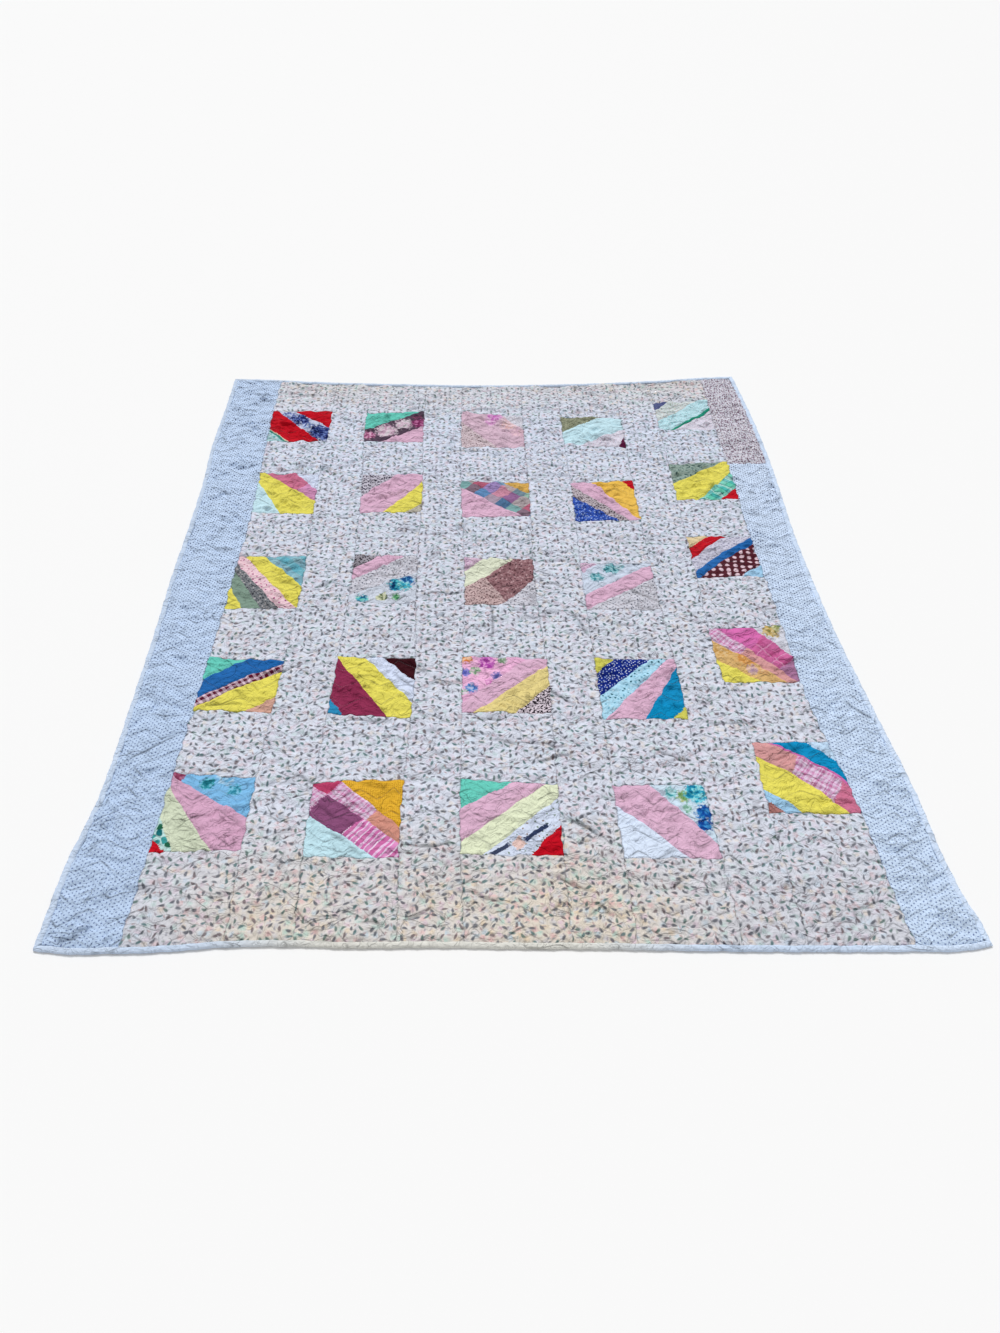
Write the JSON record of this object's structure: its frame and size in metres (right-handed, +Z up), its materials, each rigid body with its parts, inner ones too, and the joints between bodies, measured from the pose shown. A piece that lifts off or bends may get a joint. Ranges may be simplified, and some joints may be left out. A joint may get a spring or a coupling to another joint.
{
  "type": "patchwork quilt",
  "caption": "Hand-quilted cotton patchwork quilt laid out flat, with string-pieced squares in a sprig-print field, pale blue side borders and a bias binding.",
  "frame": {"origin": "centre of the quilt's box, on its flat underside", "axes": "+Z up out of the quilt's face, +Y along its length towards the far edge, +X across it to the right, the side whose border has the odd length of cloth at its far end"},
  "size_m": [1.6889, 2.0598, 0.009],
  "materials": {
    "sprig_cloth": "washed cotton, off-white with a small multicolour sprig print",
    "dot_cloth": "washed cotton, pale blue with tiny navy dots",
    "brown_print": "washed cotton, mauve-brown tiny print",
    "binding_cloth": "plain pale blue cotton, cut on the bias"
  },
  "bodies": {
    "root": {"column_1": "sprig_cloth", "column_2": "sprig_cloth", "column_3": "sprig_cloth", "column_4": "sprig_cloth", "column_5": "sprig_cloth", "sash_1": "sprig_cloth", "sash_2": "sprig_cloth", "sash_3": "sprig_cloth", "sash_4": "sprig_cloth", "border_left": "dot_cloth", "border_right": "dot_cloth", "border_right_top": "brown_print", "binding_left": "binding_cloth", "binding_right": "binding_cloth", "binding_near": "binding_cloth", "binding_far": "binding_cloth"}
  },
  "joints": []
}
